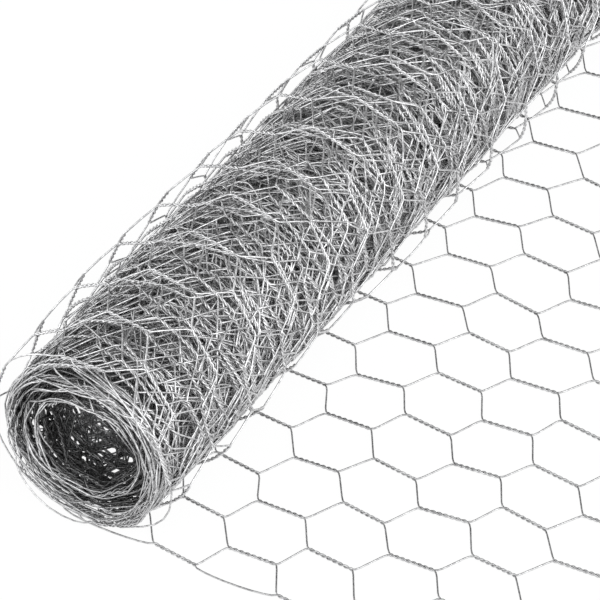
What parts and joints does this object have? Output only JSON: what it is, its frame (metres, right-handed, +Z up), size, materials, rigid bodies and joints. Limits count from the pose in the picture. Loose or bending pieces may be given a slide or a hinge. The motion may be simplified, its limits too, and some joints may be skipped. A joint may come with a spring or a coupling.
{
  "type": "chicken wire roll",
  "caption": "Roll of hexagonal galvanised wire netting lying on its side, with an open bore, a loose outer turn and a short unrolled tail lying flat.",
  "frame": {"origin": "middle of the part's footprint, on the floor that the unrolled tail lies on", "axes": "+Y along the roll, +X along the tail away from the roll, +Z up"},
  "size_m": [0.2264, 0.6102, 0.075],
  "materials": {
    "galvanised_wire": "satin galvanised steel wire, light grey with duller patches"
  },
  "bodies": {
    "root": {"wound_roll": "galvanised_wire", "outer_turn": "galvanised_wire", "unrolled_tail": "galvanised_wire"}
  },
  "joints": []
}
